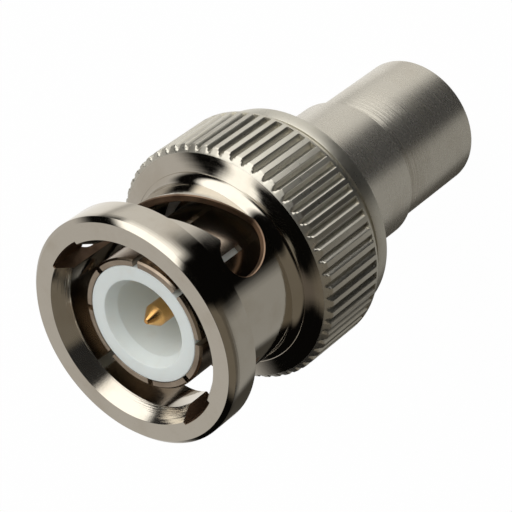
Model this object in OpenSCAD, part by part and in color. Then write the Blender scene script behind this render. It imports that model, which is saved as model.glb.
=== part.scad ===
// Bayonet-plug to phono-socket coaxial adapter, standing on the rim of its phono end.
// Millimetres. The connector axis is Z, the bayonet mating face points up, and the origin
// is the centre of the phono rim. Depths named "from the face" are measured down from the
// mating face of the coupling nut.

/* [Phono end] */
// Outside diameter of the phono barrel
barrel_d = 8.5; // [8.3:0.1:8.7]
// Length of barrel that stands out of the body
barrel_len = 7.4; // [7:0.1:9]
// Inside diameter of the barrel
barrel_bore_d = 6.8; // [6.6:0.1:7]
// Chamfer on the barrel's rim
barrel_chamfer = 0.3; // [0.1:0.05:0.4]
// Diameter of the barrel's spigot inside the body
spigot_d = 7.8; // [7.6:0.1:8]
// Length of the spigot
spigot_len = 2.9; // [2:0.1:3.5]
// Bore of the sprung socket for the phono pin
socket_bore_d = 3.2; // [3.1:0.05:3.3]
// Wall of the sprung socket
socket_wall = 0.42; // [0.3:0.02:0.5]
// Depth of the socket's bore
socket_depth = 9.2; // [8.5:0.1:9.5]
// Width of the saw cuts that make the socket's four fingers
socket_cut_w = 0.3; // [0.2:0.05:0.4]
// Length of those saw cuts
socket_cut_len = 5.5; // [4:0.1:7]
// How far the socket lies behind the rim
socket_recess = 0.9; // [0.7:0.1:1.2]
// Diameter of the pin's way in through the insulator
socket_mouth_d = 3.9; // [3.8:0.05:4]
// How far the phono insulator lies behind the rim
phono_face_recess = 0.15; // [0.1:0.05:0.3]
// Diameter of the socket's head, which the centre pin is pressed into
socket_head_d = 4.8; // [4.2:0.1:5.2]

/* [Body] */
// Outside diameter of the body behind the nut
body_d = 9.2; // [9:0.1:9.4]
// Length of the body tube, from the barrel to its flange
body_len = 9.6; // [9.4:0.1:11]
// Diameter of the flange that the nut pulls on
flange_d = 11.56; // [11.4:0.02:11.6]
// Thickness of the flange
flange_t = 1.3; // [1:0.1:1.6]
// Bore through the web between the two halves of the body
web_bore_d = 5.8; // [5.5:0.1:6]
// Thickness of that web
web_t = 1.6; // [1.5:0.1:2]
// Chamfer on the body's rear edge
body_chamfer = 0.12; // [0.05:0.01:0.2]

/* [Bayonet plug] */
// Outside diameter of the slotted outer contact
sleeve_d = 8.2; // [8.1:0.02:8.24]
// Wall of the outer contact
sleeve_wall = 0.43; // [0.38:0.01:0.5]
// How far the outer contact stands in front of the flange
sleeve_len = 9.2; // [8.8:0.1:9.4]
// Diameter of the outer contact's shoulder, which rests on the flange
sleeve_foot_d = 8.8; // [8.6:0.05:9]
// Height of that shoulder
sleeve_foot_h = 1.2; // [1:0.05:1.5]
// Saw cuts right across the outer contact, each making two slots
sleeve_cuts = 4; // [2:1:4]
// Width of a slot
sleeve_slot_w = 0.36; // [0.25:0.01:0.4]
// Length of a slot
sleeve_slot_len = 5.6; // [4:0.1:6.5]
// Turn of the first saw cut from the X axis, in degrees
sleeve_slot_turn = 3; // [0:1:44]
// Edge break round the tip of the outer contact
sleeve_edge = 0.12; // [0.05:0.01:0.16]
// Diameter of the centre pin
pin_d = 1.35; // [1.32:0.01:1.38]
// Diameter of the pin's thick part inside the insulator
pin_body_d = 2; // [1.8:0.05:2.4]
// How far the pin's point lies behind the tip of the outer contact
pin_recess = 0.3; // [0.1:0.05:0.8]
// Length of the pin's point
pin_point_len = 0.8; // [0.6:0.1:1.6]
// Diameter of the flat at the end of the point
pin_flat_d = 0.3; // [0.2:0.02:0.4]
// Bore of the insulator round the pin
insulator_bore_d = 4.84; // [4.8:0.02:5]
// Depth of that bore
insulator_bore_depth = 6.2; // [5.6:0.1:7]
// Diameter of the lead-in at the insulator's mouth
insulator_mouth_d = 5.5; // [5.2:0.05:5.8]
// Depth of that lead-in
insulator_mouth_depth = 0.75; // [0.4:0.05:1]
// Thickness of the sealing gasket
gasket_t = 1.1; // [0.8:0.1:1.3]
// Outside diameter of the gasket
gasket_d = 10; // [9.8:0.05:10.1]

/* [Coupling nut] */
// Length of the nut
nut_len = 15.15; // [14.8:0.05:15.6]
// Diameter of the ring at the mating face
ring_d = 14.16; // [13.8:0.02:14.5]
// Width of that ring
ring_len = 2.1; // [1.8:0.1:2.3]
// Edge chamfer of the ring
ring_chamfer = 0.26; // [0.15:0.01:0.35]
// Radius of the cove behind the ring
ring_cove_r = 1; // [0.6:0.05:1.2]
// Diameter of the waist that the cam slots go through
waist_d = 11.3; // [11.2:0.02:11.5]
// Bore of the nut round the mating jack
nut_bore_d = 10.4; // [10.3:0.02:10.5]
// Diameter of the lead-in at the nut's mouth
mouth_d = 11.5; // [11.2:0.02:11.6]
// Depth of that lead-in
mouth_depth = 1.05; // [0.8:0.05:1.2]
// Distance from the mating face to the front edge of the gripping collar
collar_depth = 8.35; // [8.2:0.05:8.6]
// Rise of the collar's sloping shoulder from that edge to the crease in front of it
shoulder_rise = 0.38; // [0.2:0.02:0.45]
// Diameter of that crease
shoulder_d = 12.2; // [12.1:0.05:12.6]
// Radius of the cove between the waist and the crease
collar_cove_r = 0.75; // [0.6:0.05:0.85]
// Diameter over the knurl's ridges
knurl_d = 15.04; // [14.9:0.02:15.2]
// Depth of the knurl's valleys
knurl_depth = 0.3; // [0.2:0.01:0.34]
// Length of the knurl
knurl_len = 4.7; // [4.2:0.1:5]
// Number of ridges round the collar
knurl_count = 58; // [40:2:60]
// Share of the pitch that a ridge's flat top takes
ridge_share = 0.42; // [0.3:0.01:0.5]
// Plain band between the knurl and the groove behind it
knurl_band = 0.3; // [0.15:0.05:0.4]
// Width of the groove behind the knurl
groove_w = 0.75; // [0.5:0.05:0.8]
// Diameter at the bottom of that groove
groove_d = 13.5; // [13.4:0.02:13.6]
// Diameter of the plain ring at the nut's rear
tail_d = 13.8; // [13.7:0.02:14]
// Edge break on the collar and the plain ring
nut_edge = 0.15; // [0.1:0.01:0.2]

/* [Cam slots] */
// Width of a cam slot along the axis
cam_slot_w = 2.7; // [2.5:0.05:2.9]
// Depth, from the face, of a cam slot's rear wall at its entry
cam_entry_depth = 4.93; // [4.7:0.01:5.1]
// Advance of the cam slot in one turn
cam_lead = 10.26; // [9:0.1:11]
// Turn from the middle of the entry to the middle of the detent, in degrees
cam_lock_turn = 96.7; // [90:0.1:100]
// Turn over which the rear wall bends round into the detent, in degrees
cam_nose_turn = 24; // [20:0.5:28]
// Depth of the detent's middle from the face
detent_depth = 5; // [4.8:0.05:5.2]
// Diameter of the detent that holds the jack's lug
detent_d = 2.5; // [2.3:0.02:2.6]
// Width of the straight entry in the mouth
entry_w = 2.8; // [2.6:0.05:3]
// Diameter across the bottoms of the two entries
entry_floor_d = 11.8; // [11.6:0.02:11.9]
// Diameter that the cam slots are cut out to
cam_floor_d = 12; // [11.95:0.01:12.2]
// Turn of the first entry from the X axis, in degrees
entry_turn = 5; // [0:1:20]

/* [Spring pocket] */
// Bore of the nut's rear pocket
pocket_d = 11.8; // [11.74:0.02:11.9]
// Height of the wave spring as fitted
spring_h = 1.3; // [1.2:0.05:1.4]
// Thickness of the wave spring
spring_t = 0.25; // [0.2:0.01:0.3]
// Number of waves round the spring
spring_waves = 3; // [2:1:5]
// Thickness of the thrust washer
washer_t = 0.5; // [0.4:0.05:0.6]
// Thickness of the retaining ring
clip_t = 0.75; // [0.6:0.05:0.8]
// Outside diameter of the retaining ring
clip_d = 12.5; // [12.3:0.02:12.6]
// Inside diameter of the retaining ring
clip_bore_d = 10.2; // [10:0.05:10.6]
// Opening between the retaining ring's ends
clip_gap = 2; // [1:0.1:3]
// Wall of the nut behind the retaining ring's groove
tail_lip = 0.95; // [0.8:0.05:1.1]

/* [Fits] */
// Radial gap between pieces that are pressed or glued together
seat_gap = 0.02; // [0.01:0.005:0.03]
// Radial gap between the body and what slides or turns on it
running_gap = 0.08; // [0.05:0.01:0.1]
// Gap between faces that rest on each other
face_gap = 0.03; // [0.02:0.01:0.05]

/* [Hidden] */
$fn = 96;
// How far a cutter runs past the faces that it cuts
over = 1;

// Heights up the stack, from the rim of the barrel
body_z = barrel_len;
flange_z = body_z + body_len;
flange_top_z = flange_z + flange_t;
sleeve_tip_z = flange_top_z + sleeve_len;
web_z = body_z + spigot_len + face_gap;
web_top_z = web_z + web_t;
spring_z = flange_z - spring_h;
washer_z = spring_z - washer_t;
clip_z = washer_z - face_gap - clip_t;

// The nut hangs on its inner shoulder, which rests on the flange
nut_shoulder_z = flange_top_z + face_gap;
clip_groove_w = clip_t + 2 * face_gap;
clip_groove_z = clip_z - face_gap;
nut_rear_z = clip_groove_z - tail_lip;
nut_face_z = nut_rear_z + nut_len;

// Cam slot, worked out in degrees of turn past the middle of its entry
degree_len = waist_d * PI / 360;
detent_half_turn = detent_d / 2 / degree_len;
cam_end_turn = cam_lock_turn + detent_half_turn;
cam_nose_start = cam_end_turn - cam_nose_turn;
entry_half_turn = asin(entry_w / entry_floor_d);
cam_steps = 30;
nose_steps = 10;
tool_overlap = 0.5;

// Points on an arc, as [radius, height] pairs for a revolved outline
function arc(centre, r, from, to, steps = 8) =
    [for (i = [0:steps]) let (a = from + (to - from) * i / steps) centre + r * [cos(a), sin(a)]];

// Depth of the slot's rear wall: a helix that bends round to the middle of the detent
function cam_helix(turn) = cam_entry_depth + cam_lead * turn / 360;
function cam_rear(turn) =
    turn < cam_nose_start ? cam_helix(turn)
    : detent_depth + (cam_helix(cam_nose_start) - detent_depth)
        * sqrt(max(0, 1 - pow((turn - cam_nose_start) / cam_nose_turn, 2)));

// Depth of the slot's front wall: the same helix, with the round bite of the detent
function cam_front(turn) =
    let (line = cam_helix(turn) - cam_slot_w, across = (turn - cam_lock_turn) / detent_half_turn)
    abs(across) < 1 ? min(line, detent_depth - detent_d / 2 * sqrt(1 - across * across)) : line;

// Quads that join one ring of four corners to the next, as triangles
function skin(rings, closed = false) = [
    for (i = [0:(closed ? rings - 1 : rings - 2)], k = [0:3])
        let (a = i * 4 + k, b = i * 4 + (k + 1) % 4, c = ((i + 1) % rings) * 4 + k,
             d = ((i + 1) % rings) * 4 + (k + 1) % 4)
        each [[a, b, c], [b, d, c]]
];

// A straight tube that stands on the origin
module tube(d, bore, h) {
    difference() {
        cylinder(d = d, h = h);
        translate([0, 0, -over]) cylinder(d = bore, h = h + 2 * over);
    }
}

// Tool for one cam slot, which starts inside the straight entry and goes right through the waist
module cam_slot_tool() {
    first = -entry_half_turn / 2;
    helix_turns = [for (i = [0:cam_steps]) first + (cam_nose_start - first) * i / cam_steps];
    // The nose stops just short of its end, where its walls would meet at a point
    nose_reach = 0.9995 * cam_nose_turn;
    nose_turns = [for (i = [1:nose_steps]) cam_nose_start + nose_reach * sin(90 * i / nose_steps)];
    turns = concat(helix_turns, nose_turns);
    inner = nut_bore_d / 2 - tool_overlap;
    outer = cam_floor_d / 2;
    points = [
        for (t = turns)
            let (front = -cam_front(t), rear = -cam_rear(t), x = cos(-t), y = sin(-t))
            each [
                [inner * x, inner * y, front], [outer * x, outer * y, front],
                [outer * x, outer * y, rear], [inner * x, inner * y, rear]
            ]
    ];
    last = (len(turns) - 1) * 4;
    caps = [[0, 2, 1], [0, 3, 2], [last, last + 1, last + 2], [last, last + 2, last + 3]];
    polyhedron(points, concat(skin(len(turns)), caps));
}

// Tool for one straight entry, from the mating face back to the cam slot
module entry_tool() {
    intersection() {
        translate([0, -entry_w / 2, -cam_entry_depth])
            cube([entry_floor_d, entry_w, cam_entry_depth + over]);
        translate([0, 0, -cam_entry_depth - over])
            cylinder(d = entry_floor_d, h = cam_entry_depth + 3 * over);
    }
}

// Tool for one valley of the knurl, a V that opens outwards
module knurl_tool() {
    pitch = PI * knurl_d / knurl_count;
    root = knurl_d / 2 - knurl_depth;
    half = pitch * (1 - ridge_share) / 2;
    // The V is drawn at twice its size, so that it opens clear of the ridges
    mouth = root + 2 * knurl_depth;
    linear_extrude(knurl_len + over) polygon([[root, 0], [mouth, 2 * half], [mouth, -2 * half]]);
}

// Outside of the nut as [radius, depth] pairs, from the mating face to the rear
function nut_outline() =
    let (
        waist = waist_d / 2, ring = ring_d / 2, ridge = knurl_d / 2,
        front_chamfer = knurl_depth + nut_edge / 2,
        crease_depth = collar_depth - shoulder_rise,
        cove_turn = acos(1 - (shoulder_d / 2 - waist) / collar_cove_r),
        knurl_end = collar_depth + knurl_len, groove_start = knurl_end + knurl_band,
        groove_end = groove_start + groove_w
    )
    concat(
        [[ring - ring_chamfer, 0], [ring, -ring_chamfer], [ring, -ring_len]],
        arc([waist + ring_cove_r, -ring_len - ring_cove_r], ring_cove_r, 90, 180),
        arc([waist + collar_cove_r, -crease_depth + collar_cove_r * sin(cove_turn)],
            collar_cove_r, 180, 180 + cove_turn),
        [
            [ridge - front_chamfer, -collar_depth], [ridge, -collar_depth - front_chamfer],
            [ridge, -knurl_end - nut_edge],
            [groove_d / 2, -groove_start], [groove_d / 2, -groove_end], [tail_d / 2, -groove_end],
            [tail_d / 2, nut_edge - nut_len], [tail_d / 2 - nut_edge, -nut_len]
        ]
    );

// Knurled bayonet nut: ring, waist with two cam slots, gripping collar, pocket for the spring
module coupling_nut() {
    bore = nut_bore_d / 2;
    pocket_depth = nut_shoulder_z - nut_rear_z;
    clip_groove_d = clip_d + 4 * seat_gap;
    color("silver") translate([0, 0, nut_face_z]) difference() {
        rotate_extrude() polygon(concat([[0, 0]], nut_outline(), [[0, -nut_len]]));
        translate([0, 0, -nut_len - over]) cylinder(r = bore, h = nut_len + 2 * over);
        rotate_extrude() polygon([
            [0, over], [mouth_d / 2, over], [mouth_d / 2, 0], [bore, -mouth_depth], [0, -mouth_depth]
        ]);
        translate([0, 0, -nut_len - over]) cylinder(d = pocket_d, h = pocket_depth + over);
        translate([0, 0, clip_groove_z - nut_face_z]) cylinder(d = clip_groove_d, h = clip_groove_w);
        for (side = [0, 180]) rotate(side + entry_turn) {
            entry_tool();
            cam_slot_tool();
        }
        for (i = [0:knurl_count - 1])
            rotate((i + 0.5) * 360 / knurl_count) translate([0, 0, -collar_depth - knurl_len]) knurl_tool();
    }
}

// Snap ring that sits in the nut's inner groove and carries the thrust washer
module retaining_ring() {
    color("dimgray") translate([0, 0, clip_z]) difference() {
        tube(clip_d, clip_bore_d, clip_t);
        translate([0, -clip_gap / 2, -over]) cube([clip_d, clip_gap, clip_t + 2 * over]);
    }
}

// Flat washer between the retaining ring and the spring
module thrust_washer() {
    color("gray") translate([0, 0, washer_z])
        tube(pocket_d - 2 * running_gap, body_d + 2 * running_gap, washer_t);
}

// Wavy spring washer that pulls the nut back against the flange
module wave_spring() {
    rings = 24 * spring_waves;
    inner = body_d / 2 + 2 * running_gap;
    outer = pocket_d / 2 - 2 * running_gap;
    rise = (spring_h - spring_t - 2 * face_gap) / 2;
    middle = spring_z + spring_h / 2;
    points = [
        for (i = [0:rings - 1])
            let (a = 360 * i / rings, z = middle + rise * cos(spring_waves * a), c = cos(a), s = sin(a))
            each [
                [inner * c, inner * s, z + spring_t / 2], [inner * c, inner * s, z - spring_t / 2],
                [outer * c, outer * s, z - spring_t / 2], [outer * c, outer * s, z + spring_t / 2]
            ]
    ];
    color("darkgray") polyhedron(points, skin(rings, closed = true));
}

// Turned body: tube with the flange, a bore for each half and a web between them
module main_body() {
    color("silver") difference() {
        union() {
            translate([0, 0, body_z])
                cylinder(d1 = body_d - 2 * body_chamfer, d2 = body_d, h = body_chamfer);
            translate([0, 0, body_z + body_chamfer])
                cylinder(d = body_d, h = body_len + flange_t - body_chamfer);
            translate([0, 0, flange_z]) cylinder(d = flange_d, h = flange_t);
        }
        translate([0, 0, body_z - over]) cylinder(d = spigot_d + 2 * seat_gap, h = web_z - body_z + over);
        translate([0, 0, body_z]) cylinder(d = web_bore_d, h = body_len);
        translate([0, 0, web_top_z])
            cylinder(d = sleeve_d + 2 * seat_gap, h = flange_top_z - web_top_z + over);
    }
}

// Phono barrel with the spigot that is pressed into the body
module phono_barrel() {
    color("silver") difference() {
        rotate_extrude() polygon([
            [0, 0], [barrel_d / 2 - barrel_chamfer, 0], [barrel_d / 2, barrel_chamfer],
            [barrel_d / 2, barrel_len], [spigot_d / 2, barrel_len],
            [spigot_d / 2, barrel_len + spigot_len], [0, barrel_len + spigot_len]
        ]);
        translate([0, 0, -over]) cylinder(d = barrel_bore_d, h = barrel_len + spigot_len + 2 * over);
    }
}

// Phono insulator: holds the sprung socket and narrows to the pin's way in
module phono_insulator() {
    socket_d = socket_bore_d + 2 * socket_wall;
    seat = socket_recess - face_gap;
    color("whitesmoke") difference() {
        translate([0, 0, phono_face_recess])
            cylinder(d = barrel_bore_d - 2 * seat_gap, h = web_z - face_gap - phono_face_recess);
        cylinder(d = socket_mouth_d, h = web_z);
        translate([0, 0, seat]) cylinder(d = socket_d + 2 * running_gap, h = web_z);
    }
}

// Sprung socket for the phono pin, with a head that takes the centre pin's tail
module phono_socket_contact() {
    socket_d = socket_bore_d + 2 * socket_wall;
    color("goldenrod") difference() {
        union() {
            translate([0, 0, socket_recess]) cylinder(d = socket_d, h = web_z - socket_recess);
            translate([0, 0, web_z]) cylinder(d = socket_head_d, h = web_t - face_gap);
        }
        translate([0, 0, socket_recess - over]) cylinder(d = socket_bore_d, h = socket_depth + over);
        translate([0, 0, web_z]) cylinder(d = pin_d + 2 * seat_gap, h = web_t + over);
        for (side = [0, 90]) rotate(side)
            translate([-socket_d, -socket_cut_w / 2, socket_recess - over])
                cube([2 * socket_d, socket_cut_w, socket_cut_len + over]);
    }
}

// Slotted outer contact, seated on the body's web and flange
module outer_contact() {
    bore = sleeve_d - 2 * sleeve_wall;
    foot_z = web_top_z + face_gap;
    height = sleeve_tip_z - foot_z;
    shoulder = flange_top_z + face_gap - foot_z;
    color("lightgray") translate([0, 0, foot_z]) difference() {
        rotate_extrude() polygon([
            [0, 0], [sleeve_d / 2, 0], [sleeve_d / 2, shoulder], [sleeve_foot_d / 2, shoulder],
            [sleeve_foot_d / 2, shoulder + sleeve_foot_h], [sleeve_d / 2, shoulder + sleeve_foot_h],
            [sleeve_d / 2, height - sleeve_edge], [sleeve_d / 2 - sleeve_edge, height], [0, height]
        ]);
        translate([0, 0, -over]) cylinder(d = bore, h = height + 2 * over);
        for (i = [0:sleeve_cuts - 1]) rotate(sleeve_slot_turn + i * 180 / sleeve_cuts)
            translate([-sleeve_d, -sleeve_slot_w / 2, height - sleeve_slot_len])
                cube([2 * sleeve_d, sleeve_slot_w, sleeve_slot_len + over]);
    }
}

// Plug insulator: lines the outer contact and carries the centre pin
module plug_insulator() {
    foot_z = web_top_z + face_gap;
    height = sleeve_tip_z - foot_z;
    outer = sleeve_d / 2 - sleeve_wall - seat_gap;
    bore = insulator_bore_d / 2;
    pin_hole = pin_body_d / 2 + seat_gap;
    color("white") translate([0, 0, foot_z]) rotate_extrude() polygon([
        [pin_hole, 0], [outer, 0], [outer, height], [insulator_mouth_d / 2, height],
        [bore, height - insulator_mouth_depth], [bore, height - insulator_bore_depth],
        [pin_hole, height - insulator_bore_depth]
    ]);
}

// Centre pin: tail in the socket's head, thick part in the insulator, and the contact with its point
module centre_pin() {
    foot_z = web_z + face_gap;
    height = sleeve_tip_z - pin_recess - foot_z;
    body = web_top_z + face_gap - foot_z;
    body_end = sleeve_tip_z - insulator_bore_depth - face_gap - foot_z;
    color("gold") translate([0, 0, foot_z]) rotate_extrude() polygon([
        [0, 0], [pin_d / 2, 0], [pin_d / 2, body], [pin_body_d / 2, body], [pin_body_d / 2, body_end],
        [pin_d / 2, body_end], [pin_d / 2, height - pin_point_len], [pin_flat_d / 2, height], [0, height]
    ]);
}

// Soft gasket round the outer contact's shoulder
module gasket() {
    color("white") translate([0, 0, flange_top_z + face_gap])
        tube(gasket_d, sleeve_foot_d + 2 * seat_gap, gasket_t);
}

coupling_nut();
retaining_ring();
thrust_washer();
wave_spring();
main_body();
phono_barrel();
phono_insulator();
phono_socket_contact();
outer_contact();
plug_insulator();
centre_pin();
gasket();
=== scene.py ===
"""Dresses the bayonet-plug to phono-socket adapter: its turned pieces, finishes, studio and camera.

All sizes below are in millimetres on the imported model's frame, and meshes are made in metres.
"""

from __future__ import annotations

import logging
import math
from collections.abc import Iterable, Sequence
from dataclasses import dataclass
from enum import Enum
from typing import Any

import bmesh
import bpy
from mathutils import Matrix, Vector

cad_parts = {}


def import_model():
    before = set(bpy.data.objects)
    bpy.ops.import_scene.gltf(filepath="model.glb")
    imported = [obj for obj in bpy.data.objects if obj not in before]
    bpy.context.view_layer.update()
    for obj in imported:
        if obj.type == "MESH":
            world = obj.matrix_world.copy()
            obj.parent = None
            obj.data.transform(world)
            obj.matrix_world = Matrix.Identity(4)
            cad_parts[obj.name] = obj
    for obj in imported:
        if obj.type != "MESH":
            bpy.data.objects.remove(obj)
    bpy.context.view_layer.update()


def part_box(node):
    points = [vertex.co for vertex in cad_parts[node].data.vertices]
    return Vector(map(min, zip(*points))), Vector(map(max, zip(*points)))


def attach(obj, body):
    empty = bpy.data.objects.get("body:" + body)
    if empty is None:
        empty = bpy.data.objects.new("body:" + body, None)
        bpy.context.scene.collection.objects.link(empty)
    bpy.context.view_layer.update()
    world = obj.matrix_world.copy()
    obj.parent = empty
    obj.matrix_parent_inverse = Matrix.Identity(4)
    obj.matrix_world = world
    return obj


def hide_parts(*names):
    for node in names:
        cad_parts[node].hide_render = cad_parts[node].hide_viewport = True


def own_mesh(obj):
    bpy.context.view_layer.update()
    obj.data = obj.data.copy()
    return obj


LOG = logging.getLogger("adapter")
MM = 0.001
ON_AXIS = 1e-6  # nearer to the axis than this counts as on it
STRAIGHT = 0.1  # a corner that turns by less than this, in radians, stays sharp
STAIN_SCALE = 420.0  # noise scales: the first three per metre, the last per millimetre
PIT_SCALE = 9000.0
DUST_SCALE = 900.0
SKIN_MARK_SCALE = 5.0

Outline = list[tuple[float, float]]
Colour = tuple[float, float, float]


class Body(Enum):
    """Moving bodies of the frame."""

    ROOT = "root"
    SLIDER = "slider"
    NUT = "nut"


class Slot(Enum):
    """Material slots of the record."""

    NUT = "nickel_plated_nut"
    BODY = "nickel_plated_body"
    CONTACT = "nickel_plated_contact"
    GOLD = "gold_plated_contact"
    WASHER = "washer_brass"
    SPRING = "spring_steel"
    INSULATOR = "white_insulator"
    GASKET = "silicone_gasket"


# ---- node building ----


class Tree:
    """A node tree with one method that makes any node."""

    def __init__(self, tree: bpy.types.NodeTree) -> None:
        """Keeps the tree to build in."""
        self.tree = tree

    def node(
        self,
        kind: str,
        settings: dict[str, Any] | None = None,
        inputs: dict[str | int, Any] | None = None,
        out: str | int = 0,
    ) -> Value:
        """Adds one node.

        Args:
            kind: The node's type name.
            settings: Properties set before the sockets, or a ramp's stops under "stops".
            inputs: Values or Values to link, by socket name or number.
            out: The output to wrap.

        Returns:
            The wrapped output; an output node has none.
        """
        made = self.tree.nodes.new(kind)
        for key, value in (settings or {}).items():
            if key == "stops":
                self._stops(made.color_ramp, value)
            else:
                setattr(made, key, value)
        for key, value in (inputs or {}).items():
            socket = made.inputs[key]
            if isinstance(value, Value):
                self.tree.links.new(value.socket, socket)
            else:
                socket.default_value = value
        return Value(self, made.outputs[out] if len(made.outputs) else None)

    @staticmethod
    def _stops(ramp: bpy.types.ColorRamp, stops: Sequence[tuple[float, Colour]]) -> None:
        """Gives a ramp its stops, smoothed."""
        ramp.interpolation = "EASE"
        while len(ramp.elements) < len(stops):
            ramp.elements.new(1.0)
        for element, (at, colour) in zip(ramp.elements, stops):
            element.position = at
            element.color = (*colour, 1.0)

    def vector(self, x: Any, y: Any, z: Any) -> Value:
        """Joins three numbers into a vector."""
        return self.node("ShaderNodeCombineXYZ", None, {0: x, 1: y, 2: z})

    def mix(self, share: Any, low: Any, high: Any) -> Value:
        """Blends two colours by share."""
        return self.node(
            "ShaderNodeMix",
            {"data_type": "RGBA"},
            {0: share, 6: _rgba(low), 7: _rgba(high)},
            out=2,
        )

    def split(self, place: Value, count: int = 3) -> list[Value]:
        """Takes a vector apart into its first few numbers."""
        return [self.node("ShaderNodeSeparateXYZ", None, {0: place}, out=i) for i in range(count)]

    def noise(
        self, place: Value, scale: float, detail: float, roughness: float = 0.5, dimensions: str = "3D"
    ) -> Value:
        """Adds a noise texture, which varies about one half."""
        return self.node(
            "ShaderNodeTexNoise",
            {"noise_dimensions": dimensions},
            {"Vector": place, "Scale": scale, "Detail": detail, "Roughness": roughness},
        )


class Value:
    """A socket that can be used in Python arithmetic; each operator adds a Math node."""

    def __init__(self, tree: Tree, socket: bpy.types.NodeSocket | None) -> None:
        """Keeps the socket and the tree that it is in."""
        self.tree = tree
        self.socket = socket

    def math(self, operation: str, *others: Any) -> Value:
        """Applies a Math node to this value and others."""
        inputs = dict(enumerate((self, *others)))
        return self.tree.node("ShaderNodeMath", {"operation": operation}, inputs)

    def _reflected(self, operation: str, first: Any) -> Value:
        """Applies a Math node with this value second."""
        return self.tree.node("ShaderNodeMath", {"operation": operation}, {0: first, 1: self})

    def __add__(self, other: Any) -> Value:
        """Sum."""
        return self.math("ADD", other)

    def __radd__(self, other: Any) -> Value:
        """Sum, reflected."""
        return self._reflected("ADD", other)

    def __sub__(self, other: Any) -> Value:
        """Difference."""
        return self.math("SUBTRACT", other)

    def __rsub__(self, other: Any) -> Value:
        """Difference, reflected."""
        return self._reflected("SUBTRACT", other)

    def __mul__(self, other: Any) -> Value:
        """Product."""
        return self.math("MULTIPLY", other)

    def __rmul__(self, other: Any) -> Value:
        """Product, reflected."""
        return self._reflected("MULTIPLY", other)

    def __truediv__(self, other: Any) -> Value:
        """Quotient."""
        return self.math("DIVIDE", other)

    def ramp(self, low: float, high: float, start: float = 0.0, end: float = 1.0) -> Value:
        """Maps low..high smoothly to start..end."""
        return self.tree.node(
            "ShaderNodeMapRange",
            {"interpolation_type": "SMOOTHSTEP"},
            {0: self, 1: low, 2: high, 3: start, 4: end},
        )


def _rgba(value: Any) -> Any:
    """Adds alpha to a plain colour and leaves a Value as it is."""
    return value if isinstance(value, Value) else (*value, 1.0)


# ---- finishes ----


@dataclass(frozen=True)
class PlatedMetal:
    """A plated, turned metal: circular tool marks round Z, soft stains and a fine grain; on the slot walls
    and the outer contact the stain colour is painted shade.

    Tool marks are marked_gain times as deep between the two heights in marked, where it is given.
    """

    name: str
    colour: Colour
    stain_and_shade: Colour
    roughness: float
    mark_pitch: float = 0.14
    mark_height: float = 0.0006
    stain_and_shade_share: float = 0.35
    grain: float = 0.0
    metallic: float = 1.0
    marked: tuple[float, float] | None = None
    marked_gain: float = 6.0

    def material(self) -> bpy.types.Material:
        """Builds the material, or returns the one already built."""
        found = bpy.data.materials.get(self.name)
        if found:
            return found
        surface = TurnedSurface(self.name)
        tree = surface.tree
        marks = tree.noise(surface.lay, 1 / self.mark_pitch, 3.0, 0.6, "2D")
        clouds = tree.noise(surface.place, STAIN_SCALE, 4.0, 0.6)
        pits = tree.noise(surface.place, PIT_SCALE, 2.0, 0.7)
        # Random clouds towards the second colour: real stains on most metals, painted shade on the slot
        # walls and the outer contact.
        stain_and_shade_mask = clouds.ramp(0.45, 0.75) * self.stain_and_shade_share
        colour = tree.mix(stain_and_shade_mask, self.colour, self.stain_and_shade)
        rough = self.roughness + (clouds - 0.5) * 0.10 + (marks - 0.5) * 0.08
        rough = rough + (pits - 0.5) * (0.06 + self.grain)
        if self.marked:
            low, high = self.marked
            above = surface.height.ramp(low - 0.4, low + 0.4)
            below = surface.height.ramp(high - 0.1, high + 0.1, 1.0, 0.0)
            band = above * below
            marks = marks * (band * (self.marked_gain - 1) + 1)
        relief = marks + pits * (0.25 + 4.0 * self.grain)
        surface.finish(colour, rough, relief, 1.0, self.mark_height * 2)
        surface.shader.inputs["Metallic"].default_value = self.metallic
        return surface.material


@dataclass(frozen=True)
class SoftPlastic:
    """A pale turned plastic or rubber, slightly translucent, with faint tool marks and dust."""

    name: str
    colour: Colour
    dust: Colour
    roughness: float
    translucency: float

    def material(self) -> bpy.types.Material:
        """Builds the material, or returns the one already built."""
        found = bpy.data.materials.get(self.name)
        if found:
            return found
        surface = TurnedSurface(self.name)
        tree = surface.tree
        marks = tree.noise(surface.lay, SKIN_MARK_SCALE, 2.0, dimensions="2D")
        clouds = tree.noise(surface.place, DUST_SCALE, 4.0)
        colour = tree.mix(clouds.ramp(0.5, 0.8) * 0.3, self.colour, self.dust)
        rough = self.roughness + (clouds - 0.5) * 0.15
        surface.finish(colour, rough, marks + clouds, 0.6, 0.004)
        inputs = surface.shader.inputs
        inputs["Subsurface Weight"].default_value = self.translucency
        inputs["Subsurface Radius"].default_value = (1.0, 0.9, 0.8)
        inputs["Subsurface Scale"].default_value = 0.6 * MM
        inputs["IOR"].default_value = 1.38
        return surface.material


class TurnedSurface:
    """The start of a turned piece's material, with its places on the object in millimetres."""

    def __init__(self, name: str) -> None:
        """Makes the material, its shader, and the lay that tool marks follow."""
        self.material, self.tree = empty_material(name)
        tree = self.tree
        shader = tree.node("ShaderNodeBsdfPrincipled")
        tree.node("ShaderNodeOutputMaterial", None, {0: shader})
        self.shader = shader.socket.node
        self.place = tree.node("ShaderNodeTexCoord", None, None, out="Object")
        x, y, self.height = (one / MM for one in tree.split(self.place))
        self.lay = tree.vector((x * x + y * y).math("SQRT"), self.height, 0.0)

    def finish(self, colour: Value, rough: Value, relief: Value, strength: float, depth: float) -> None:
        """Links what varies over the surface to the shader.

        Args:
            colour: Base colour.
            rough: Roughness.
            relief: Height of the surface's bumps.
            strength: Strength of the bumps.
            depth: Depth of the bumps, in millimetres.
        """
        bump = self.tree.node(
            "ShaderNodeBump", None, {"Strength": strength, "Distance": depth * MM, "Height": relief}
        )
        for name, value in (("Base Color", colour), ("Roughness", rough), ("Normal", bump)):
            self.tree.tree.links.new(value.socket, self.shader.inputs[name])


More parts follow.
